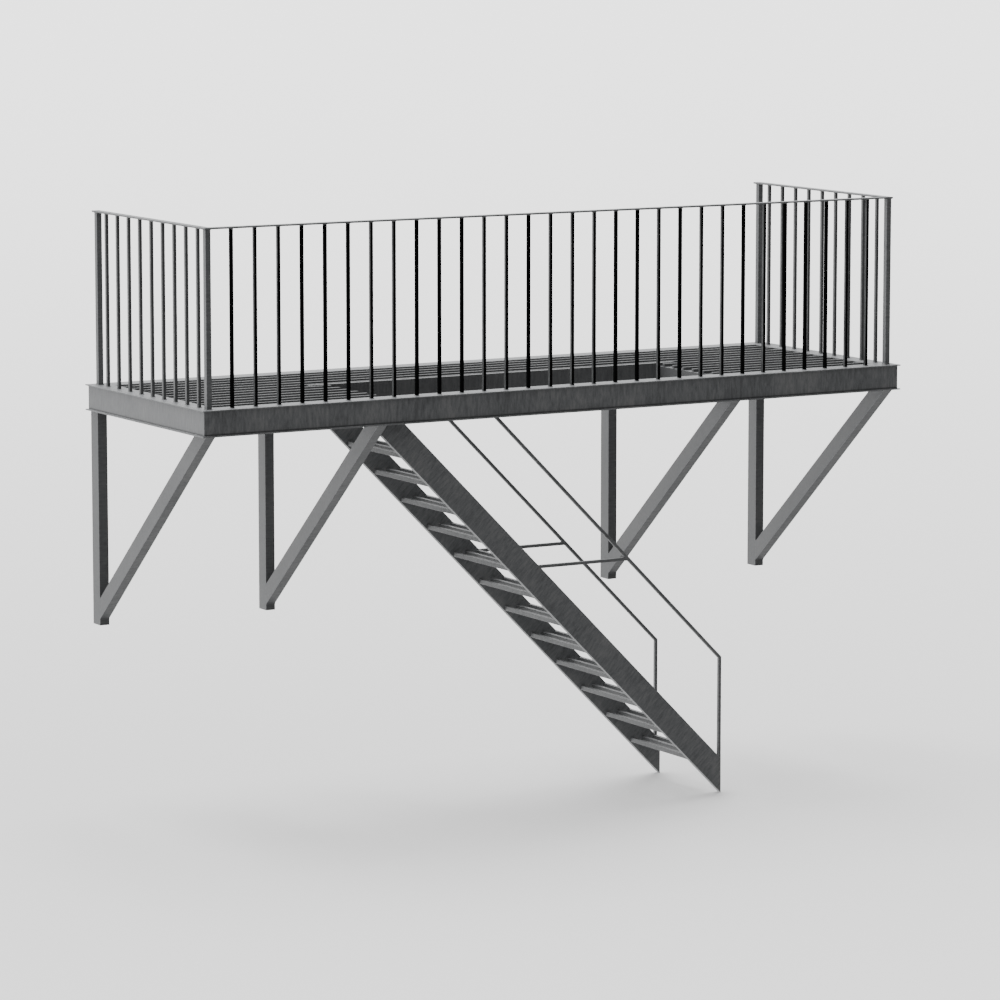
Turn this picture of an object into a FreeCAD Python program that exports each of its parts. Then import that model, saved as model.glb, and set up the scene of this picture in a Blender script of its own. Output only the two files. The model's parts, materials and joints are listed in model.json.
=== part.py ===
"""Exterior steel fire escape: a guarded landing on wall brackets with one straight flight down.

Millimetres, +Z up. +X runs along the wall towards the foot of the flight, +Y points into the wall.
The wall plane is y = 0. The origin is the middle of the flat back face of the second bracket post.
"""

import FreeCAD, Part
import math
import os

os.makedirs("parts", exist_ok=True)

# ---- driving dimensions ------------------------------------------------------------------
# landing frame, measured between beam centrelines
END_BAY = 1185.0
MIDDLE_BAY = 2595.0
FRAME_DEPTH = 1525.0

# rim beams: a rectangular tube with a wider cover plate above and below
TUBE_WIDTH = 110.0
TUBE_DEPTH = 150.0
TUBE_WALL = 5.0
PLATE_WIDTH = 140.0
PLATE_THICKNESS = 7.0

# inner members: tubular joists over the middle brackets and a plate along the stair well
JOIST_WIDTH = 120.0
TRIMMER_THICKNESS = 35.0

# open deck of square bars that run along the landing
DECK_BAR = 20.0
DECK_BARS = 11
DECK_END_GAP = 87.5

# guard rail
GUARD_HEIGHT = 1100.0
TOP_RAIL_WIDTH = 50.0
TOP_RAIL_THICKNESS = 10.0
TOP_RAIL_OVERHANG = 40.0
GUARD_POST = 35.0
GUARD_POST_WALL = 3.0
BALUSTER = 20.0
FRONT_BALUSTERS = 30
FRONT_END_GAP = 162.5
SIDE_BALUSTERS = 9
SIDE_END_GAP = 122.5

# wall brackets: an upright against the wall and a raking strut
BRACKET_WIDTH = 65.0
BRACKET_DEPTH = 100.0
BRACKET_WALL = 4.0
POST_LENGTH = 1372.0
STRUT_TOE = 42.0
STRUT_HEAD_LAP = 37.0

# flight of stairs
STAIR_WIDTH = 782.5
DECK_TO_GROUND = 2750.0
HEAD_SETBACK = 198.0
TOP_STEP = 181.0
BOTTOM_STEP = 263.0
TREADS = 13
STRINGER_DEPTH = 160.0
STRINGER_THICKNESS = 35.0
STRINGER_OVERRUN = 22.0
TREAD_BAR_WIDTH = 25.0
TREAD_BAR_HEIGHT = 28.0
TREAD_BAR_PITCH = 88.0
TREAD_BARS = 3
TREAD_SETBACK = 3.0

# stair handrails
HANDRAIL = 20.0
HANDRAIL_RISE = 659.0
HANDRAIL_BRACE_DROP = 1154.0
HANDRAIL_LAP = 60.0

# ---- positions that follow from them -----------------------------------------------------
BEAM_DEPTH = TUBE_DEPTH + 2.0 * PLATE_THICKNESS
HALF_PLATE = PLATE_WIDTH / 2.0
HALF_TUBE = TUBE_WIDTH / 2.0
PLATE_LIP = HALF_PLATE - HALF_TUBE

BEAM_BOTTOM = POST_LENGTH / 2.0
DECK_TOP = BEAM_BOTTOM + BEAM_DEPTH
GROUND = DECK_TOP - DECK_TO_GROUND
JOIST_TOP = DECK_TOP - DECK_BAR

X_LEFT = -END_BAY
X_JOISTS = [0.0, MIDDLE_BAY]
X_RIGHT = MIDDLE_BAY + END_BAY
Y_BACK = -HALF_PLATE
Y_FRONT = Y_BACK - FRAME_DEPTH

INNER_LEFT = X_LEFT + HALF_PLATE
INNER_RIGHT = X_RIGHT - HALF_PLATE
INNER_FRONT = Y_FRONT + HALF_PLATE
INNER_BACK = Y_BACK - HALF_PLATE

HALF_JOIST = JOIST_WIDTH / 2.0
WELL_LEFT = X_JOISTS[0] + HALF_JOIST
WELL_RIGHT = X_JOISTS[1] - HALF_JOIST
WELL_BACK = INNER_FRONT + STAIR_WIDTH - STRINGER_THICKNESS

Z = FreeCAD.Vector(0, 0, 1)


def vec(x, y, z):
    return FreeCAD.Vector(x, y, z)


def save(name, solids):
    """Write one node: a single solid, or several like solids that don't touch."""
    shape = solids[0] if len(solids) == 1 else Part.makeCompound(solids)
    shape.exportStep("parts/" + name + ".step")


def block(x0, x1, y0, y1, z0, z1):
    return Part.makeBox(x1 - x0, y1 - y0, z1 - z0, vec(x0, y0, z0))


def prism(points, direction):
    """Extrude a closed polygon."""
    face = Part.Face(Part.makePolygon(points + [points[0]]))
    return face.extrude(direction)


# ---- rim beams ---------------------------------------------------------------------------
def rim_beam(start, end, centre, along, corners):
    """Plated tube along X or Y, cut to a plan trapezoid so that the corners are mitred."""
    tube_bottom = BEAM_BOTTOM + PLATE_THICKNESS
    tube_top = DECK_TOP - PLATE_THICKNESS
    outline = [
        (-HALF_PLATE, BEAM_BOTTOM), (HALF_PLATE, BEAM_BOTTOM),
        (HALF_PLATE, tube_bottom), (HALF_TUBE, tube_bottom),
        (HALF_TUBE, tube_top), (HALF_PLATE, tube_top),
        (HALF_PLATE, DECK_TOP), (-HALF_PLATE, DECK_TOP),
        (-HALF_PLATE, tube_top), (-HALF_TUBE, tube_top),
        (-HALF_TUBE, tube_bottom), (-HALF_PLATE, tube_bottom),
    ]
    half_bore = HALF_TUBE - TUBE_WALL
    bore = [
        (-half_bore, tube_bottom + TUBE_WALL), (half_bore, tube_bottom + TUBE_WALL),
        (half_bore, tube_top - TUBE_WALL), (-half_bore, tube_top - TUBE_WALL),
    ]
    if along == "x":
        outer = prism([vec(start, centre + a, z) for a, z in outline], vec(end - start, 0, 0))
        inner = prism([vec(start, centre + a, z) for a, z in bore], vec(end - start, 0, 0))
    else:
        outer = prism([vec(centre + a, start, z) for a, z in outline], vec(0, end - start, 0))
        inner = prism([vec(centre + a, start, z) for a, z in bore], vec(0, end - start, 0))
    trapezoid = [vec(x, y, BEAM_BOTTOM - 10.0) for x, y in corners]
    return outer.cut(inner).common(prism(trapezoid, Z * (BEAM_DEPTH + 20.0)))


OUT_LEFT = X_LEFT - HALF_PLATE
OUT_RIGHT = X_RIGHT + HALF_PLATE
OUT_FRONT = Y_FRONT - HALF_PLATE
OUT_BACK = Y_BACK + HALF_PLATE

save("front_beam", [rim_beam(OUT_LEFT, OUT_RIGHT, Y_FRONT, "x", [
    (OUT_LEFT, OUT_FRONT), (OUT_RIGHT, OUT_FRONT), (INNER_RIGHT, INNER_FRONT), (INNER_LEFT, INNER_FRONT),
])])
save("back_beam", [rim_beam(OUT_LEFT, OUT_RIGHT, Y_BACK, "x", [
    (OUT_LEFT, OUT_BACK), (INNER_LEFT, INNER_BACK), (INNER_RIGHT, INNER_BACK), (OUT_RIGHT, OUT_BACK),
])])
save("left_end_beam", [rim_beam(OUT_FRONT, OUT_BACK, X_LEFT, "y", [
    (OUT_LEFT, OUT_FRONT), (INNER_LEFT, INNER_FRONT), (INNER_LEFT, INNER_BACK), (OUT_LEFT, OUT_BACK),
])])
save("right_end_beam", [rim_beam(OUT_FRONT, OUT_BACK, X_RIGHT, "y", [
    (OUT_RIGHT, OUT_FRONT), (OUT_RIGHT, OUT_BACK), (INNER_RIGHT, INNER_BACK), (INNER_RIGHT, INNER_FRONT),
])])


# ---- joists and trimmer ------------------------------------------------------------------
def cross_joist(x):
    """Tube between the tubes of the front and back beams, coped over their lower plates."""
    y0 = INNER_FRONT - PLATE_LIP
    y1 = INNER_BACK + PLATE_LIP
    cope = BEAM_BOTTOM + PLATE_THICKNESS
    half_bore = HALF_JOIST - TUBE_WALL
    low = cope
    high = JOIST_TOP - TUBE_WALL
    tube = block(x - HALF_JOIST, x + HALF_JOIST, y0, y1, BEAM_BOTTOM, JOIST_TOP)
    tube = tube.cut(block(x - half_bore, x + half_bore, y0, y1, low, high))
    tube = tube.cut(block(x - HALF_JOIST, x + HALF_JOIST, y0, INNER_FRONT, BEAM_BOTTOM, cope))
    return tube.cut(block(x - HALF_JOIST, x + HALF_JOIST, INNER_BACK, y1, BEAM_BOTTOM, cope))


save("cross_joists", [cross_joist(x) for x in X_JOISTS])

# The trimmer is a plate on edge whose top strip runs on over both joists.
ears_left = X_JOISTS[0] - HALF_JOIST
ears_right = X_JOISTS[1] + HALF_JOIST
trimmer_plate = block(WELL_LEFT, WELL_RIGHT, WELL_BACK, WELL_BACK + TRIMMER_THICKNESS, BEAM_BOTTOM, DECK_TOP)
trimmer_ears = block(ears_left, ears_right, WELL_BACK, WELL_BACK + TRIMMER_THICKNESS, JOIST_TOP, DECK_TOP)
save("stairwell_trimmer", [trimmer_plate.fuse(trimmer_ears).removeSplitter()])

# ---- deck --------------------------------------------------------------------------------
first_bar_y = INNER_FRONT + DECK_END_GAP
bar_pitch = (INNER_BACK - DECK_END_GAP - DECK_BAR - first_bar_y) / (DECK_BARS - 1)
left_bars = []
right_bars = []
walkway_bars = []
for i in range(DECK_BARS):
    y = first_bar_y + i * bar_pitch
    if y + DECK_BAR <= WELL_BACK:
        left_bars.append(block(INNER_LEFT, WELL_LEFT, y, y + DECK_BAR, JOIST_TOP, DECK_TOP))
        right_bars.append(block(WELL_RIGHT, INNER_RIGHT, y, y + DECK_BAR, JOIST_TOP, DECK_TOP))
    elif y >= WELL_BACK + TRIMMER_THICKNESS:
        walkway_bars.append(block(INNER_LEFT, INNER_RIGHT, y, y + DECK_BAR, JOIST_TOP, DECK_TOP))
save("deck_bars_left", left_bars)
save("deck_bars_right", right_bars)
save("deck_bars_walkway", walkway_bars)

# ---- guard rail --------------------------------------------------------------------------
RAIL_TOP = DECK_TOP + GUARD_HEIGHT
RAIL_BOTTOM = RAIL_TOP - TOP_RAIL_THICKNESS
half_rail = TOP_RAIL_WIDTH / 2.0
rail_end = Y_BACK + TOP_RAIL_OVERHANG


def top_rail(corners):
    points = [vec(x, y, RAIL_BOTTOM) for x, y in corners]
    return prism(points, Z * TOP_RAIL_THICKNESS)


save("top_rail_front", [top_rail([
    (X_LEFT - half_rail, Y_FRONT - half_rail), (X_RIGHT + half_rail, Y_FRONT - half_rail),
    (X_RIGHT - half_rail, Y_FRONT + half_rail), (X_LEFT + half_rail, Y_FRONT + half_rail),
])])
save("top_rail_left", [top_rail([
    (X_LEFT - half_rail, Y_FRONT - half_rail), (X_LEFT + half_rail, Y_FRONT + half_rail),
    (X_LEFT + half_rail, rail_end), (X_LEFT - half_rail, rail_end),
])])
save("top_rail_right", [top_rail([
    (X_RIGHT + half_rail, Y_FRONT - half_rail), (X_RIGHT + half_rail, rail_end),
    (X_RIGHT - half_rail, rail_end), (X_RIGHT - half_rail, Y_FRONT + half_rail),
])])


def guard_post(x, y):
    half = GUARD_POST / 2.0
    bore = half - GUARD_POST_WALL
    tube = block(x - half, x + half, y - half, y + half, DECK_TOP, RAIL_BOTTOM)
    return tube.cut(block(x - bore, x + bore, y - bore, y + bore, DECK_TOP, RAIL_BOTTOM))


def baluster(x, y):
    half = BALUSTER / 2.0
    return block(x - half, x + half, y - half, y + half, DECK_TOP, RAIL_BOTTOM)


save("guard_posts_corner", [guard_post(x, Y_FRONT) for x in (X_LEFT, X_RIGHT)])
save("guard_posts_wall", [guard_post(x, Y_BACK) for x in (X_LEFT, X_RIGHT)])


def spread(start, end, count):
    """Even centres from start to end."""
    pitch = (end - start) / (count - 1)
    return [start + i * pitch for i in range(count)]


front_x = spread(X_LEFT + FRONT_END_GAP, X_RIGHT - FRONT_END_GAP, FRONT_BALUSTERS)
side_y = spread(Y_FRONT + SIDE_END_GAP, Y_BACK - SIDE_END_GAP, SIDE_BALUSTERS)
save("balusters_front", [baluster(x, Y_FRONT) for x in front_x])
save("balusters_left", [baluster(X_LEFT, y) for y in side_y])
save("balusters_right", [baluster(X_RIGHT, y) for y in side_y])

# ---- wall brackets -----------------------------------------------------------------------
POST_BOTTOM = BEAM_BOTTOM - POST_LENGTH
post_face = -BRACKET_DEPTH
half_bracket = BRACKET_WIDTH / 2.0
strut_reach = post_face - (OUT_FRONT + STRUT_HEAD_LAP)
strut_slope = (POST_LENGTH - STRUT_TOE) / strut_reach
strut_stretch = math.hypot(1.0, strut_slope)
strut_height = BRACKET_DEPTH * strut_stretch
wall_height = BRACKET_WALL * strut_stretch


def bracket_post(x):
    tube = block(x - half_bracket, x + half_bracket, post_face, 0.0, POST_BOTTOM, BEAM_BOTTOM)
    bore = half_bracket - BRACKET_WALL
    hollow = block(x - bore, x + bore, post_face + BRACKET_WALL, -BRACKET_WALL, POST_BOTTOM, BEAM_BOTTOM)
    return tube.cut(hollow)


def strut_outline(x, lower, upper):
    """Side view of a raking bar between the post and the underside of the frame."""
    y_low = post_face - (BEAM_BOTTOM - lower) / strut_slope
    y_up = post_face - (BEAM_BOTTOM - upper) / strut_slope
    return [vec(x, post_face, lower), vec(x, post_face, upper), vec(x, y_up, BEAM_BOTTOM),
            vec(x, y_low, BEAM_BOTTOM)]


def bracket_strut(x):
    lower = POST_BOTTOM + STRUT_TOE
    upper = lower + strut_height
    outer = prism(strut_outline(x - half_bracket, lower, upper), vec(BRACKET_WIDTH, 0, 0))
    inner_points = strut_outline(x - half_bracket + BRACKET_WALL, lower + wall_height, upper - wall_height)
    inner = prism(inner_points, vec(BRACKET_WIDTH - 2.0 * BRACKET_WALL, 0, 0))
    return outer.cut(inner)


for number, x in enumerate([X_LEFT] + X_JOISTS + [X_RIGHT], 1):
    save("bracket_post_%d" % number, [bracket_post(x)])
    save("bracket_strut_%d" % number, [bracket_strut(x)])

# ---- flight ------------------------------------------------------------------------------
# Both edges of a stringer are lines x + slope * z = constant in the XZ plane.
FLIGHT_END = WELL_RIGHT + STRINGER_OVERRUN
FLIGHT_HEAD = X_JOISTS[0] - HEAD_SETBACK
run_per_drop = (FLIGHT_END - FLIGHT_HEAD) / DECK_TO_GROUND
slant = math.hypot(1.0, run_per_drop)
stringer_run = STRINGER_DEPTH * slant
rise = (DECK_TO_GROUND - TOP_STEP - BOTTOM_STEP) / (TREADS - 1)


def lower_edge(z):
    """X of the stringer's underside at a height."""
    return FLIGHT_END - (z - GROUND) * run_per_drop


def upper_edge(z):
    return lower_edge(z) + stringer_run


def stringer(y0, head):
    """Sloping plate, plumb at the foot and level at the head, cut clear of the bracket and joist."""
    end_top = GROUND + stringer_run / run_per_drop
    points = [
        vec(FLIGHT_END, y0, GROUND), vec(FLIGHT_END, y0, end_top),
        vec(upper_edge(head), y0, head), vec(lower_edge(head), y0, head),
    ]
    plate = prism(points, vec(0, STRINGER_THICKNESS, 0))
    side = y0 + STRINGER_THICKNESS
    plate = plate.cut(block(-1e4, half_bracket, y0, side, GROUND, BEAM_BOTTOM))
    return plate.cut(block(-1e4, WELL_LEFT, y0, side, BEAM_BOTTOM, DECK_TOP))


y_front_stringer = INNER_FRONT
y_back_stringer = WELL_BACK
save("stringer_front", [stringer(y_front_stringer, JOIST_TOP)])
save("stringer_back", [stringer(y_back_stringer, BEAM_BOTTOM)])

tread_y0 = y_front_stringer + STRINGER_THICKNESS
tread_y1 = y_back_stringer
for number in range(1, TREADS + 1):
    top = DECK_TOP - TOP_STEP - (number - 1) * rise
    heel = lower_edge(top - TREAD_BAR_HEIGHT) + TREAD_SETBACK
    bars = []
    for i in range(TREAD_BARS):
        x = heel + i * TREAD_BAR_PITCH
        if x < WELL_LEFT:
            continue  # a bar here would lie under the joist, in the way of the bracket strut
        bars.append(block(x, x + TREAD_BAR_WIDTH, tread_y0, tread_y1, top - TREAD_BAR_HEIGHT, top))
    save("tread_%02d" % number, bars)

# ---- stair handrails ---------------------------------------------------------------------
# The front one stands on its stringer. The back one laps the outer faces of its stringer and trimmer.
rail_run = HANDRAIL * slant


def rail_line(z):
    """X of the handrail's centreline at a height."""
    return upper_edge(z) + HANDRAIL_RISE * run_per_drop


leg_x1 = FLIGHT_END
leg_x0 = FLIGHT_END - HANDRAIL
knee_x = (leg_x0 + leg_x1) / 2.0
knee_z = GROUND + (stringer_run + HANDRAIL_RISE * run_per_drop + HANDRAIL / 2.0) / run_per_drop
knee_rise = HANDRAIL / 2.0 * (slant - 1.0) / run_per_drop
end_top = GROUND + stringer_run / run_per_drop


def handrail(y0, head):
    """Sloping bar, cut level at its head and mitred at the knee."""
    points = [
        vec(leg_x0, y0, knee_z - knee_rise), vec(leg_x1, y0, knee_z + knee_rise),
        vec(rail_line(head) + rail_run / 2.0, y0, head),
        vec(rail_line(head) - rail_run / 2.0, y0, head),
    ]
    return prism(points, vec(0, HANDRAIL, 0))


def handrail_leg(y0, lap):
    """Upright bar at the foot of the flight, from the stringer's upper edge to the knee."""
    foot = end_top + HANDRAIL / run_per_drop
    points = [
        vec(leg_x0, y0, foot - lap), vec(leg_x1, y0, end_top - lap),
        vec(leg_x1, y0, knee_z + knee_rise), vec(leg_x0, y0, knee_z - knee_rise),
    ]
    return prism(points, vec(0, HANDRAIL, 0))


def handrail_brace(y0, lap):
    """Level bar from the stringer's upper edge to the underside of the handrail."""
    centre = DECK_TOP - HANDRAIL_BRACE_DROP
    low = centre - HANDRAIL / 2.0
    high = centre + HANDRAIL / 2.0
    points = [
        vec(upper_edge(low) - lap, y0, low), vec(rail_line(low) - rail_run / 2.0, y0, low),
        vec(rail_line(high) - rail_run / 2.0, y0, high), vec(upper_edge(high) - lap, y0, high),
    ]
    return prism(points, vec(0, HANDRAIL, 0))


y_front_rail = INNER_FRONT
y_back_rail = WELL_BACK + STRINGER_THICKNESS
save("handrail_front", [handrail(y_front_rail, BEAM_BOTTOM + PLATE_THICKNESS)])
save("handrail_back", [handrail(y_back_rail, BEAM_BOTTOM + HANDRAIL_LAP)])
save("handrail_leg_front", [handrail_leg(y_front_rail, 0.0)])
save("handrail_leg_back", [handrail_leg(y_back_rail, HANDRAIL_LAP)])
save("handrail_braces", [handrail_brace(y_front_rail, 0.0), handrail_brace(y_back_rail, HANDRAIL_LAP)])
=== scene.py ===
"""Looks of the fire escape stair: blackened steel, worn edges, weld beads and plain studio light.

Metres, in the frame of the CAD: +X along the wall towards the foot of the flight, +Y into the wall, +Z up.
"""

import json
import math

import bmesh
import bpy
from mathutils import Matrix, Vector


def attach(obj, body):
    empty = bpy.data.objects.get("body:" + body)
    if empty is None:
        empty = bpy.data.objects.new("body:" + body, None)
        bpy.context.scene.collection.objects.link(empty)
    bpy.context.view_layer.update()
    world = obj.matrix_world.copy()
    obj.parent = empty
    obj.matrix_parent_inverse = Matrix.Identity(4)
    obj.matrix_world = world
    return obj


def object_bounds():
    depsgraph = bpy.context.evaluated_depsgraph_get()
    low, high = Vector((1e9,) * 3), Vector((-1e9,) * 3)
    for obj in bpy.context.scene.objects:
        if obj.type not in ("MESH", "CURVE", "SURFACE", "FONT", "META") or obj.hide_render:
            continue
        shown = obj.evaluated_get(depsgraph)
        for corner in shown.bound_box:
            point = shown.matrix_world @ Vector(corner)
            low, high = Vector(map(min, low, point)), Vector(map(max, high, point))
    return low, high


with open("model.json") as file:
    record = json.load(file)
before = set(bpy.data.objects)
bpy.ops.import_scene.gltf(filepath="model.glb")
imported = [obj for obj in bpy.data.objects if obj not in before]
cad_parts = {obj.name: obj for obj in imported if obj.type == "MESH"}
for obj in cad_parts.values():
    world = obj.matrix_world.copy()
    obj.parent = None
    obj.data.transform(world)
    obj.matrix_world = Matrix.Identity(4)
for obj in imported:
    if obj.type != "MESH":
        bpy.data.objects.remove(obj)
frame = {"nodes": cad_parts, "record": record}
cad_low, cad_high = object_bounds()
nodes = frame["nodes"]
X, Y, Z = Vector((1, 0, 0)), Vector((0, 1, 0)), Vector((0, 0, 1))
SQUARE = ((-1, -1), (1, -1), (1, 1), (-1, 1))


# ---- places on the object, read from the frame -------------------------------------------
def box(name):
    """Lowest and highest corner of a CAD piece."""
    node = nodes[name]
    points = [node.matrix_world @ vertex.co for vertex in node.data.vertices]
    low = Vector([min(point[axis] for point in points) for axis in range(3)])
    high = Vector([max(point[axis] for point in points) for axis in range(3)])
    return low, high


def evenly(start, end, count):
    """Even places from start to end."""
    return [start + i * (end - start) / (count - 1) for i in range(count)]


beam_low, beam_high = box("front_beam")
BEAM_BOTTOM = beam_low.z
DECK_TOP = beam_high.z
INNER_FRONT = beam_high.y

front_low, front_high = box("balusters_front")
left_low, left_high = box("balusters_left")
wall_post_low, wall_post_high = box("guard_posts_wall")
HALF_BAR = (front_high.y - front_low.y) / 2.0
HALF_GUARD_POST = (wall_post_high.y - wall_post_low.y) / 2.0
RAIL_BOTTOM = front_high.z
Y_FRONT = (front_low.y + front_high.y) / 2.0
Y_BACK = (wall_post_low.y + wall_post_high.y) / 2.0
FRONT_BARS = 30
SIDE_BARS = 9
FRONT_X = evenly(front_low.x + HALF_BAR, front_high.x - HALF_BAR, FRONT_BARS)
SIDE_Y = evenly(left_low.y + HALF_BAR, left_high.y - HALF_BAR, SIDE_BARS)

bracket_boxes = [box("bracket_post_%d" % number) for number in (1, 2, 3, 4)]
BRACKET_X = [(low.x + high.x) / 2.0 for low, high in bracket_boxes]
X_LEFT, X_RIGHT = BRACKET_X[0], BRACKET_X[3]
X_JOISTS = BRACKET_X[1:3]


# ---- materials ---------------------------------------------------------------------------
class Graph:
    """A few helpers to build a node tree."""

    def __init__(self, name):
        self.material = bpy.data.materials.new(name)
        self.material.use_nodes = True
        self.tree = self.material.node_tree
        self.shader = self.tree.nodes["Principled BSDF"]
        self.place = self.add("ShaderNodeTexCoord").outputs["Object"]

    def add(self, kind, **settings):
        node = self.tree.nodes.new(kind)
        for key, value in settings.items():
            setattr(node, key, value)
        return node

    def link(self, source, target):
        """Join a socket to a socket, or set a plain number."""
        if isinstance(source, (int, float)):
            target.default_value = source
        else:
            self.tree.links.new(source, target)

    def math(self, operation, *values):
        node = self.add("ShaderNodeMath", operation=operation)
        for value, socket in zip(values, node.inputs):
            self.link(value, socket)
        return node.outputs[0]

    def noise(self, scale, detail, stretch=(1, 1, 1), turn=(0, 0, 0), rough=0.5):
        """Noise over the object's own place, stretched after a turn. Gives 0 to 1."""
        turned = self.add("ShaderNodeMapping", vector_type="POINT")
        turned.inputs["Rotation"].default_value = turn
        self.link(self.place, turned.inputs["Vector"])
        scaled = self.add("ShaderNodeMapping", vector_type="POINT")
        scaled.inputs["Scale"].default_value = stretch
        self.link(turned.outputs["Vector"], scaled.inputs["Vector"])
        node = self.add("ShaderNodeTexNoise")
        node.inputs["Scale"].default_value = scale
        node.inputs["Detail"].default_value = detail
        node.inputs["Roughness"].default_value = rough
        self.link(scaled.outputs["Vector"], node.inputs["Vector"])
        return node.outputs["Fac"]

    def ramp(self, value, stops):
        node = self.add("ShaderNodeValToRGB")
        while len(node.color_ramp.elements) < len(stops):
            node.color_ramp.elements.new(0.5)
        for element, (place, colour) in zip(node.color_ramp.elements, stops):
            element.position = place
            element.color = (*colour, 1.0)
        self.link(value, node.inputs["Fac"])
        return node.outputs["Color"]

    def rescale(self, value, low, high, new_low, new_high):
        """Map low to new_low and high to new_high, and hold the ends."""
        node = self.add("ShaderNodeMapRange")
        limits = {"From Min": low, "From Max": high, "To Min": new_low, "To Max": new_high}
        for key, number in limits.items():
            node.inputs[key].default_value = number
        self.link(value, node.inputs["Value"])
        return node.outputs["Result"]

    def total(self, *terms):
        """Sum of values, each times its share."""
        result = 0.0
        for share, value in terms:
            result = self.math("ADD", result, self.math("MULTIPLY", value, share))
        return result

    def xyz(self, vector):
        """The X, Y and Z of a vector socket."""
        split = self.add("ShaderNodeSeparateXYZ")
        self.link(vector, split.inputs[0])
        return split.outputs

    def facing(self):
        """The X, Y and Z of the surface direction."""
        return self.xyz(self.add("ShaderNodeNewGeometry").outputs["Normal"])

    def blend(self, share, first, second):
        """Mix two colours, each a socket or a plain colour."""
        node = self.add("ShaderNodeMix", data_type="RGBA")
        self.link(share, node.inputs["Factor"])
        for value, socket in ((first, node.inputs[6]), (second, node.inputs[7])):
            if isinstance(value, tuple):
                socket.default_value = (*value, 1.0)
            else:
                self.link(value, socket)
        return node.outputs[2]

    def relief(self, height, strength, distance):
        """Bump the surface by up to a distance in metres."""
        bump = self.add("ShaderNodeBump")
        bump.inputs["Strength"].default_value = strength
        bump.inputs["Distance"].default_value = distance
        self.link(height, bump.inputs["Height"])
        self.link(bump.outputs["Normal"], self.shader.inputs["Normal"])


COOL = (0.97, 1.0, 1.03)
NEUTRAL = (1.0, 1.0, 1.0)


def grey(level, tint=COOL):
    return tuple(level * t for t in tint)


# Patina: the scale of each pattern, its share of the mix, and how strongly the mix shows.
CLOUD_SCALE, CLOUD_SHARE = 2.6, 0.3
MARKS_STRETCH, MARKS_SHARE = (70, 70, 15), 0.5
FINE_GRAIN, GRAIN_SHARE = 260.0, 0.2
FAINT, STRONG = 0.4, 1.25
DARKEST_AT, LIGHTEST_AT = 0.36, 0.64
DULL_AT, BRIGHT_AT = 0.35, 0.65
# Painted light on the level tops, and the level of the painted shade.
LEVEL_ABOVE, TOP_LIGHT_SHARE = 0.7, 0.7
PAINTED_SHADE_LEVEL = 0.3


def steel(name, level, turn, contrast=0.42, roughness=(0.36, 0.6), specular=0.5, bump=0.0006,
          grain_scale=FINE_GRAIN, top_light=None, shade=None):
    """Blackened mill steel: cloudy patina, brushed marks across the bar and a fine grain.

    The marks run along Z before the turn. They show most on the faces that look along Y, and faintly
    on the rest. A top light level paints the level tops a lighter grey, as painted light from above.
    A shade function gives the share of painted shade at a place.
    """
    g = Graph(name)
    cloud = g.noise(CLOUD_SCALE, 4.0, rough=0.55)
    marks = g.noise(1.0, 5.0, stretch=MARKS_STRETCH, turn=turn, rough=0.7)
    grain = g.noise(grain_scale, 2.0)
    mixed = g.total((CLOUD_SHARE, cloud), (MARKS_SHARE, marks), (GRAIN_SHARE, grain))
    strength = g.rescale(g.math("ABSOLUTE", g.facing()["Y"]), 0.0, 1.0, FAINT, STRONG)
    mixed = g.math("ADD", g.math("MULTIPLY", g.math("SUBTRACT", mixed, 0.5), strength), 0.5)

    dark = grey(level * (1.0 - contrast))
    light = grey(level * (1.0 + contrast), NEUTRAL)
    colour = g.ramp(mixed, [(DARKEST_AT, dark), (0.5, grey(level)), (LIGHTEST_AT, light)])
    # Painted light: the level tops turn a lighter grey, as if lit from above.
    if top_light:
        top = g.math("GREATER_THAN", g.facing()["Z"], LEVEL_ABOVE)
        colour = g.blend(g.math("MULTIPLY", top, TOP_LIGHT_SHARE), colour, grey(top_light))
    # Painted shade: darken where the shade function asks for it.
    if shade:
        colour = g.blend(shade(g), colour, grey(level * PAINTED_SHADE_LEVEL))
    g.link(colour, g.shader.inputs["Base Color"])

    smooth, rough = roughness
    g.link(g.rescale(mixed, DULL_AT, BRIGHT_AT, rough, smooth), g.shader.inputs["Roughness"])
    g.shader.inputs["Specular IOR Level"].default_value = specular
    g.relief(g.total((0.6, marks), (0.4, grain)), 0.7, bump)
    return g.material


# Painted shadow: a dark line just above the lower plates, where the plate's lip shades the beam.
SHADOW_LINE_Z = BEAM_BOTTOM + 0.013
SHADOW_LINE_CORE, SHADOW_LINE_EDGE, SHADOW_LINE_SHARE = 0.002, 0.007, 0.7
# Painted shade: the members round the stair well are darkened, standing in for the shade they sit in.
# The members round the stair well are darkened to match the photo, where it may be dirt or shade.
WELL_X = (X_JOISTS[0] - 0.061, X_JOISTS[1] + 0.061)
WELL_Y = (INNER_FRONT + 0.001, -0.700)
WELL_SHADE_SHARE = 0.55


def frame_painted_shade(g):
    """Share of painted shade on the landing frame."""
    x, y, z = g.xyz(g.place)
    # Painted shadow in a line just above the lower plates.
    off_line = g.math("ABSOLUTE", g.math("SUBTRACT", z, SHADOW_LINE_Z))
    line = g.rescale(off_line, SHADOW_LINE_CORE, SHADOW_LINE_EDGE, SHADOW_LINE_SHARE, 0.0)
    # Painted shade on the members round the stair well.
    inside = g.math("MULTIPLY", g.math("GREATER_THAN", x, WELL_X[0]), g.math("LESS_THAN", x, WELL_X[1]))
    inside = g.math("MULTIPLY", inside, g.math("GREATER_THAN", y, WELL_Y[0]))
    inside = g.math("MULTIPLY", inside, g.math("LESS_THAN", y, WELL_Y[1]))
    return g.math("MAXIMUM", line, g.math("MULTIPLY", inside, WELL_SHADE_SHARE))


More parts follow.
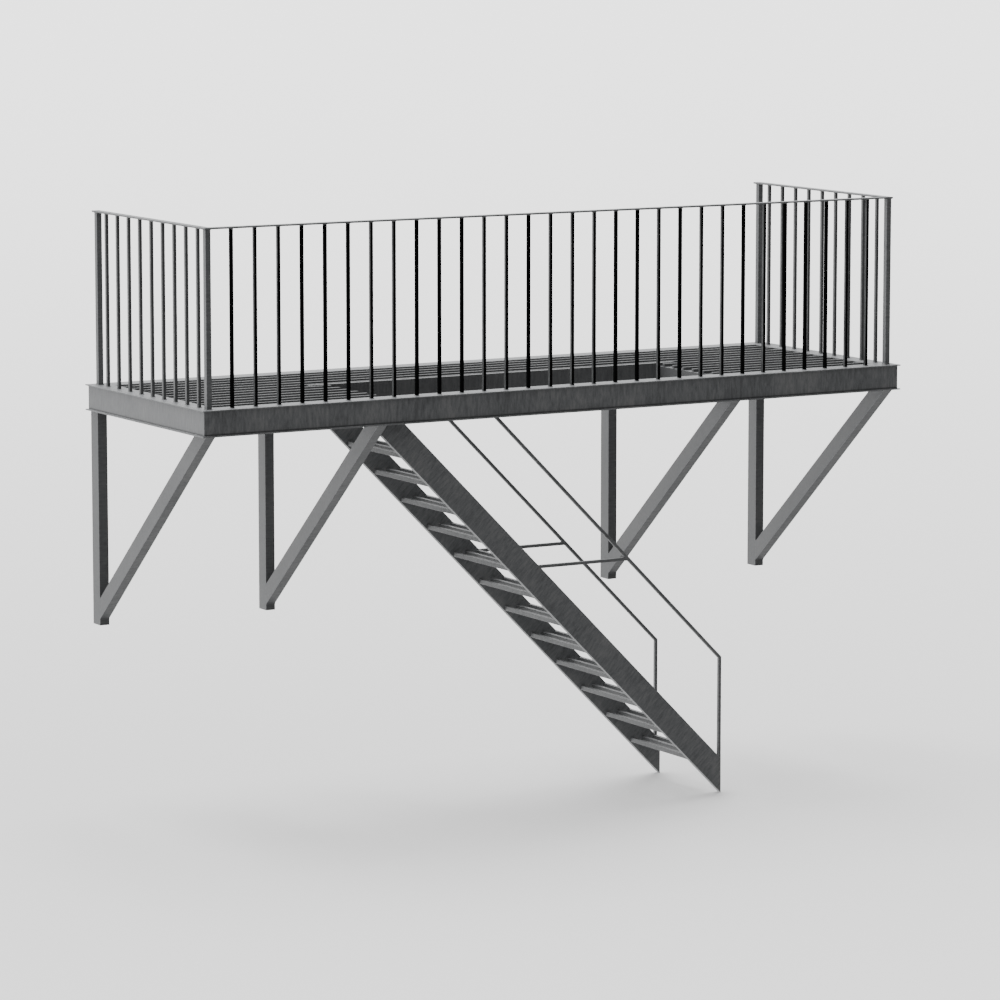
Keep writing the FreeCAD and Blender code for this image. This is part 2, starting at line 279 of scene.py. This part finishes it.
# Front balusters, counted from the left, whose left side is rubbed to grey steel.
RUBBED = (2, 3, 7, 8, 12, 13, 15, 16, 17, 20, 22, 23, 25, 29, 30)
PAINT_DARK, PAINT_LIGHT = 0.0025, 0.0055
BARE_DARK, BARE_LIGHT = 0.05, 0.08
LEAST_WORN = 0.55
BARE_SPECULAR = 0.4


def black_bars(name):
    """Near-black paint on the front balusters, with the rubbed sides."""
    g = Graph(name)
    pitch = FRONT_X[1] - FRONT_X[0]
    number = g.math("DIVIDE", g.math("SUBTRACT", g.xyz(g.place)["X"], FRONT_X[0]), pitch)
    number = g.math("ADD", g.math("ROUND", number), 1.0)
    chosen = 0.0
    for bar in RUBBED:
        chosen = g.math("ADD", chosen, g.math("COMPARE", number, float(bar), 0.1))
    side = g.math("LESS_THAN", g.facing()["X"], -0.5)
    wear = g.rescale(g.noise(1.0, 4.0, stretch=(60, 60, 5), rough=0.6), 0.4, 0.6, LEAST_WORN, 1.0)
    bare = g.math("MULTIPLY", g.math("MULTIPLY", chosen, side), wear)

    grain = g.noise(240.0, 2.0)
    paint = g.ramp(grain, [(DULL_AT, grey(PAINT_DARK)), (BRIGHT_AT, grey(PAINT_LIGHT))])
    metal = g.ramp(grain, [(DULL_AT, grey(BARE_DARK)), (BRIGHT_AT, grey(BARE_LIGHT))])
    g.link(g.blend(bare, paint, metal), g.shader.inputs["Base Color"])
    g.link(g.math("MULTIPLY", bare, BARE_SPECULAR), g.shader.inputs["Specular IOR Level"])
    g.link(g.rescale(grain, DULL_AT, BRIGHT_AT, 0.62, 0.5), g.shader.inputs["Roughness"])
    g.relief(grain, 0.6, 0.0004)
    return g.material


# Turns that lay the marks across the members.
UPRIGHT = (0.0, 0.0, 0.0)
ACROSS = (0.0, math.radians(90.0), 0.0)
LEVEL_Y = (math.radians(90.0), 0.0, 0.0)
FLIGHT = (0.0, math.radians(-45.0), 0.0)

finish = {
    "frame_steel": steel("frame_steel", 0.125, UPRIGHT, top_light=0.21, shade=frame_painted_shade),
    "deck_steel": steel("deck_steel", 0.088, LEVEL_Y, grain_scale=150.0),
    "rail_steel": steel("rail_steel", 0.11, ACROSS, contrast=0.32, top_light=0.2),
    "baluster_steel": steel("baluster_steel", 0.055, ACROSS, specular=0.8),
    "front_baluster_steel": black_bars("front_baluster_steel"),
    "bracket_steel": steel("bracket_steel", 0.09, ACROSS, contrast=0.26),
    "stringer_steel": steel("stringer_steel", 0.126, FLIGHT, contrast=0.36),
    "tread_steel": steel("tread_steel", 0.078, UPRIGHT, contrast=0.8, grain_scale=120.0),
    "handrail_steel": steel("handrail_steel", 0.11, ACROSS),
}
edge = steel("edge_steel", 0.2, ACROSS, contrast=0.5, roughness=(0.3, 0.5), bump=0.0003)
weld_metal = steel("weld_metal", 0.07, ACROSS, contrast=0.4, roughness=(0.3, 0.5), bump=0.0003)

# ---- finishes and worn edges on the CAD pieces -------------------------------------------
SAME_POINT = 0.00001
WORN_EDGE = 0.001
SHARP = math.radians(30.0)


def dress(name, node, material):
    """Give a CAD piece its material, with worn edges except on the black bars."""
    node.data.materials.clear()
    node.data.materials.append(material)
    node.data.materials.append(material if name == "balusters_front" else edge)
    weld = node.modifiers.new("join", "WELD")
    weld.merge_threshold = SAME_POINT
    bevel = node.modifiers.new("edge", "BEVEL")
    bevel.width = WORN_EDGE
    bevel.segments = 1
    bevel.limit_method = "ANGLE"
    bevel.angle_limit = SHARP
    bevel.material = 1
    bevel.use_clamp_overlap = True


slot_of = {part["node"]: part["material_slot"] for part in frame["record"]["subparts"]}
for name, node in nodes.items():
    dress(name, node, finish[slot_of[name]])

# ---- weld beads --------------------------------------------------------------------------
SINK = 0.0003
RIPPLE_PITCH = 0.003
# Shares of the leg: the ripple along a bead, and its rounded face between the two legs.
RIPPLE = 0.1
BULGE = ((0.78, 0.4), (0.4, 0.78))

BAR_LEG = 0.003
GUARD_POST_LEG = 0.004
BRACKET_LEG = 0.005
TREAD_LEG = 0.0026
DECK_LEG = 0.004
HANDRAIL_LEG = 0.0035


class Beads:
    """One piece of fillet weld beads, each a closed body sunk a hair into both faces."""

    def __init__(self, name):
        self.name = name
        self.points = []
        self.faces = []

    def lay(self, path, outs, up, leg, closed):
        """A bead along a path. It spreads outwards over one face and up the other."""
        start = len(self.points)
        for i, (place, out) in enumerate(zip(path, outs)):
            size = leg * (1.0 + (RIPPLE if i % 2 else -RIPPLE))
            section = [(-SINK, -SINK), (size, -SINK)]
            section += [(a * size, b * size) for a, b in BULGE]
            section += [(0.0, size), (-SINK, size)]
            self.points += [place + out * a + up * b for a, b in section]
        ring = len(section)
        count = len(path)
        for i in range(count if closed else count - 1):
            here = start + i * ring
            there = start + (i + 1) % count * ring
            for j in range(ring):
                k = (j + 1) % ring
                self.faces.append((here + j, here + k, there + k, there + j))
        if not closed:
            last = start + (count - 1) * ring
            self.faces.append(tuple(range(start, start + ring)))
            self.faces.append(tuple(reversed(range(last, last + ring))))

    def run(self, start, end, out, up, leg):
        """A straight bead."""
        steps = max(2, round((end - start).length / RIPPLE_PITCH))
        path = [start.lerp(end, i / steps) for i in range(steps + 1)]
        self.lay(path, [out.normalized()] * len(path), up.normalized(), leg, False)

    def collar(self, corners, up, leg):
        """A bead all round the foot of a bar on a level face. The corners go round in order."""
        middle = sum(corners, Vector()) / len(corners)
        sides = []
        for first, second in zip(corners, corners[1:] + corners[:1]):
            out = (second - first).cross(Z).normalized()
            sides.append(out if out.dot(first - middle) > 0.0 else -out)
        path, outs = [], []
        for i, first in enumerate(corners):
            second = corners[(i + 1) % len(corners)]
            steps = max(2, 2 * round((second - first).length / RIPPLE_PITCH / 2.0))
            path.append(first)
            outs.append(sides[i - 1] + sides[i])
            for step in range(1, steps):
                path.append(first.lerp(second, step / steps))
                outs.append(sides[i])
        self.lay(path, outs, up.normalized(), leg, True)

    def square(self, x, y, z, half, up, leg):
        """A bead all round a square upright bar."""
        self.collar([Vector((x + a * half, y + b * half, z)) for a, b in SQUARE], up, leg)

    def finish(self, slot):
        """Make the piece."""
        mesh = bpy.data.meshes.new(self.name)
        mesh.from_pydata([tuple(p) for p in self.points], [], self.faces)
        body = bmesh.new()
        body.from_mesh(mesh)
        bmesh.ops.recalc_face_normals(body, faces=body.faces)
        body.to_mesh(mesh)
        body.free()
        mesh.materials.append(weld_metal)
        piece = bpy.data.objects.new(self.name, mesh)
        bpy.context.scene.collection.objects.link(piece)
        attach(piece, "root")


def guard_beads():
    """Round the foot and the head of every baluster and guard post."""
    beads = Beads("weld_beads_guard")
    bars = [(x, Y_FRONT) for x in FRONT_X] + [(x, y) for x in (X_LEFT, X_RIGHT) for y in SIDE_Y]
    posts = [(x, y) for x in (X_LEFT, X_RIGHT) for y in (Y_FRONT, Y_BACK)]
    for places, half, leg in ((bars, HALF_BAR, BAR_LEG), (posts, HALF_GUARD_POST, GUARD_POST_LEG)):
        for x, y in places:
            beads.square(x, y, DECK_TOP, half, Z, leg)
            beads.square(x, y, RAIL_BOTTOM, half, -Z, leg)
    beads.finish("baluster_steel")


def bracket_beads():
    """Round each strut's head, above and below its toe, and round the post's head off the wall."""
    beads = Beads("weld_beads_brackets")
    wall_clearance = 0.002
    post_low, post_high = bracket_boxes[1]
    strut_low = box("bracket_strut_2")[0]
    half = (post_high.x - post_low.x) / 2.0
    face = post_low.y
    toe, head = strut_low.z, strut_low.y
    slope = (BEAM_BOTTOM - toe) / (face - head)
    strut_height = (post_high.y - face) * math.hypot(1.0, slope)
    inner_head = face - (BEAM_BOTTOM - toe - strut_height) / slope
    down_strut = Vector((0.0, 1.0, -slope))
    for x in BRACKET_X:
        left, right = x - half, x + half
        plan = ((left, head), (right, head), (right, inner_head), (left, inner_head))
        beads.collar([Vector((a, b, BEAM_BOTTOM)) for a, b in plan], down_strut, BRACKET_LEG)
        for z, out in ((toe, -Z), (toe + strut_height, Z)):
            beads.run(Vector((left, face, z)), Vector((right, face, z)), out, -down_strut, BRACKET_LEG)
        front_left = Vector((left, face, BEAM_BOTTOM))
        front_right = Vector((right, face, BEAM_BOTTOM))
        beads.run(front_left, front_right, -Y, -Z, BRACKET_LEG)
        for corner, out in ((front_left, -X), (front_right, X)):
            beads.run(corner, Vector((corner.x, -wall_clearance, BEAM_BOTTOM)), out, -Z, BRACKET_LEG)
    beads.finish("bracket_steel")


def tread_beads():
    """Above and below both ends of every tread bar."""
    beads = Beads("weld_beads_treads")
    width, pitch, inset = 0.025, 0.088, 0.003
    for name in sorted(n for n in nodes if n.startswith("tread_")):
        low, high = box(name)
        for i in range(round((high.x - low.x - width) / pitch) + 1):
            x0 = low.x + i * pitch + inset
            x1 = low.x + i * pitch + width - inset
            for y, up in ((low.y, Y), (high.y, -Y)):
                for z, out in ((high.z, Z), (low.z, -Z)):
                    beads.run(Vector((x0, y, z)), Vector((x1, y, z)), out, up, TREAD_LEG)
    beads.finish("tread_steel")


def deck_beads():
    """A short bead along both sides of every deck bar, on top of each joist."""
    beads = Beads("weld_beads_deck")
    rows, half_length = 11, 0.015
    left_bars_low, left_bars_high = box("deck_bars_left")
    back_bars_high = box("deck_bars_walkway")[1]
    trimmer_low, trimmer_high = box("stairwell_trimmer")
    bar = left_bars_high.z - left_bars_low.z
    joist_top = left_bars_low.z
    for y in evenly(left_bars_low.y, back_bars_high.y - bar, rows):
        if trimmer_low.y - bar < y < trimmer_high.y:
            continue  # the trimmer takes the place of this bar
        for x in X_JOISTS:
            for side, out in ((y, -Y), (y + bar, Y)):
                start = Vector((x - half_length, side, joist_top))
                beads.run(start, start + X * 2.0 * half_length, out, Z, DECK_LEG)
    beads.finish("deck_steel")


def handrail_beads():
    """Where the handrails' legs and braces meet the stringers and the handrails."""
    beads = Beads("weld_beads_handrails")
    upper_tread = box("tread_02")
    lower_tread = box("tread_13")
    run_per_drop = (lower_tread[0].x - upper_tread[0].x) / (upper_tread[1].z - lower_tread[1].z)
    up_flight = Vector((-run_per_drop, 0.0, 1.0)).normalized()
    foot_x = box("stringer_front")[1].x
    leg_low = box("handrail_leg_front")[0].z
    lap = leg_low - box("handrail_leg_back")[0].z
    brace_low, brace_high = box("handrail_braces")
    rail = brace_high.z - brace_low.z
    leg_high = leg_low + rail / run_per_drop
    front_side = INNER_FRONT + rail
    back_side = box("stringer_back")[1].y

    def edge_x(z):
        """X of the stringer's upper edge at a height."""
        return foot_x - (z - leg_low) * run_per_drop

    def tip_x(z):
        """X of the handrail's underside at a height of the brace."""
        return brace_high.x - (z - brace_low.z) * run_per_drop

    def run(start, end, out, up):
        beads.run(Vector(start), Vector(end), out, up, HANDRAIL_LEG)

    # The front leg and brace stand on the stringer's upper edge.
    y0, y1 = INNER_FRONT, front_side
    run((foot_x, y1, leg_low), (foot_x - rail, y1, leg_high), Y, Z)
    run((foot_x - rail, y0, leg_high), (foot_x - rail, y1, leg_high), up_flight, Z)
    for z, out in ((brace_low.z, -up_flight), (brace_high.z, up_flight)):
        run((edge_x(z), y1, z), (edge_x(z), y0, z), out, X)
        run((tip_x(z), y1, z), (tip_x(z), y0, z), out, -X)
    run((edge_x(brace_low.z), y1, brace_low.z), (edge_x(brace_high.z), y1, brace_high.z), Y, X)

    # The back leg and brace lap the outer face of theirs.
    y0, y1 = back_side, back_side + rail
    run((foot_x - rail, y0, leg_high), (foot_x - rail, y0, leg_high - lap), -X, Y)
    for z, out, along in ((brace_low.z, -Z, -up_flight), (brace_high.z, Z, up_flight)):
        run((edge_x(z) - lap, y0, z), (edge_x(z), y0, z), out, Y)
        run((tip_x(z), y0, z), (tip_x(z), y1, z), along, -X)
    beads.finish("handrail_steel")


guard_beads()
bracket_beads()
tread_beads()
deck_beads()
handrail_beads()

# ---- floor -------------------------------------------------------------------------------
FLOOR_SIZE = 400.0
FLOOR_GREY = 0.73
# Painted light: the floor's glow, which grows with distance.
FLOOR_GLOW = 1.15
FLOOR_GLOW_REACH = 32.0


def floor_painted_glow():
    """Pale floor with a painted glow that grows a little with distance, like a lit studio sweep."""
    g = Graph("floor_painted_glow")
    distance = g.add("ShaderNodeVectorMath", operation="LENGTH")
    g.link(g.place, distance.inputs[0])
    fade = g.math("EXPONENT", g.math("MULTIPLY", distance.outputs["Value"], -1.0 / FLOOR_GLOW_REACH))
    glow = g.math("MULTIPLY", g.math("SUBTRACT", 1.0, fade), FLOOR_GLOW)
    g.link(glow, g.shader.inputs["Emission Strength"])
    g.shader.inputs["Emission Color"].default_value = (1.0, 1.0, 1.0, 1.0)
    g.shader.inputs["Base Color"].default_value = (FLOOR_GREY, FLOOR_GREY, FLOOR_GREY, 1.0)
    g.shader.inputs["Roughness"].default_value = 1.0
    g.shader.inputs["Specular IOR Level"].default_value = 0.0
    return g.material


mesh = bpy.data.meshes.new("floor")
mesh.from_pydata([(x * FLOOR_SIZE, y * FLOOR_SIZE, cad_low.z) for x, y in SQUARE], [], [(0, 1, 2, 3)])
mesh.materials.append(floor_painted_glow())
floor = bpy.data.objects.new("floor", mesh)
bpy.context.scene.collection.objects.link(floor)
# The dark undersides and front faces get their light from the surround, not from the floor.
floor.visible_diffuse = False
floor.visible_glossy = False


# ---- light -------------------------------------------------------------------------------
def studio(all_round, left, behind, above, below):
    """A soft surround: an even level, and more from each named side."""
    world = bpy.data.worlds.new("studio")
    world.use_nodes = True
    tree = world.node_tree
    split = tree.nodes.new("ShaderNodeSeparateXYZ")
    tree.links.new(tree.nodes.new("ShaderNodeTexCoord").outputs["Generated"], split.inputs[0])

    def math_node(operation, source, value):
        node = tree.nodes.new("ShaderNodeMath")
        node.operation = operation
        tree.links.new(source, node.inputs[0])
        if isinstance(value, float):
            node.inputs[1].default_value = value
        else:
            tree.links.new(value, node.inputs[1])
        return node.outputs[0]

    total = all_round
    for axis, gain in (("X", -left), ("Y", behind), ("Z", above), ("Z", -below)):
        side = math_node("MAXIMUM", math_node("MULTIPLY", split.outputs[axis], gain), 0.0)
        total = math_node("ADD", side, total)
    background = tree.nodes["Background"]
    background.inputs["Color"].default_value = (1.0, 1.0, 1.0, 1.0)
    tree.links.new(total, background.inputs["Strength"])
    bpy.context.scene.world = world


studio(all_round=0.06, left=1.03, behind=1.6, above=0.45, below=0.79)

TOWARDS_SUN = Vector((-0.1, 0.75, 2.6))
SUN_STRENGTH = 4.35
SUN_SPREAD = math.radians(48.0)
sun = bpy.data.lights.new("key_light", "SUN")
sun.energy = SUN_STRENGTH
sun.angle = SUN_SPREAD
lamp = bpy.data.objects.new("key_light", sun)
lamp.rotation_mode = "QUATERNION"
lamp.rotation_quaternion = TOWARDS_SUN.to_track_quat("Z", "Y")
bpy.context.scene.collection.objects.link(lamp)

# ---- camera ------------------------------------------------------------------------------
AZIMUTH = math.radians(-30.1023)
ELEVATION = math.radians(7.9644)
CAMERA_PLACE = (-13.766, -26.810, 4.233)
CAMERA_LENS = 168.84
SENSOR_WIDTH = 36.0
SIGHT = 1000.0
back = Vector((
    math.sin(AZIMUTH) * math.cos(ELEVATION),
    -math.cos(AZIMUTH) * math.cos(ELEVATION),
    math.sin(ELEVATION),
))
lens = bpy.data.cameras.new("camera")
lens.lens = CAMERA_LENS
lens.sensor_width = SENSOR_WIDTH
lens.clip_end = SIGHT
camera = bpy.data.objects.new("camera", lens)
camera.location = CAMERA_PLACE
camera.rotation_mode = "QUATERNION"
camera.rotation_quaternion = (-back).to_track_quat("-Z", "Y")
bpy.context.scene.collection.objects.link(camera)
bpy.context.scene.camera = camera
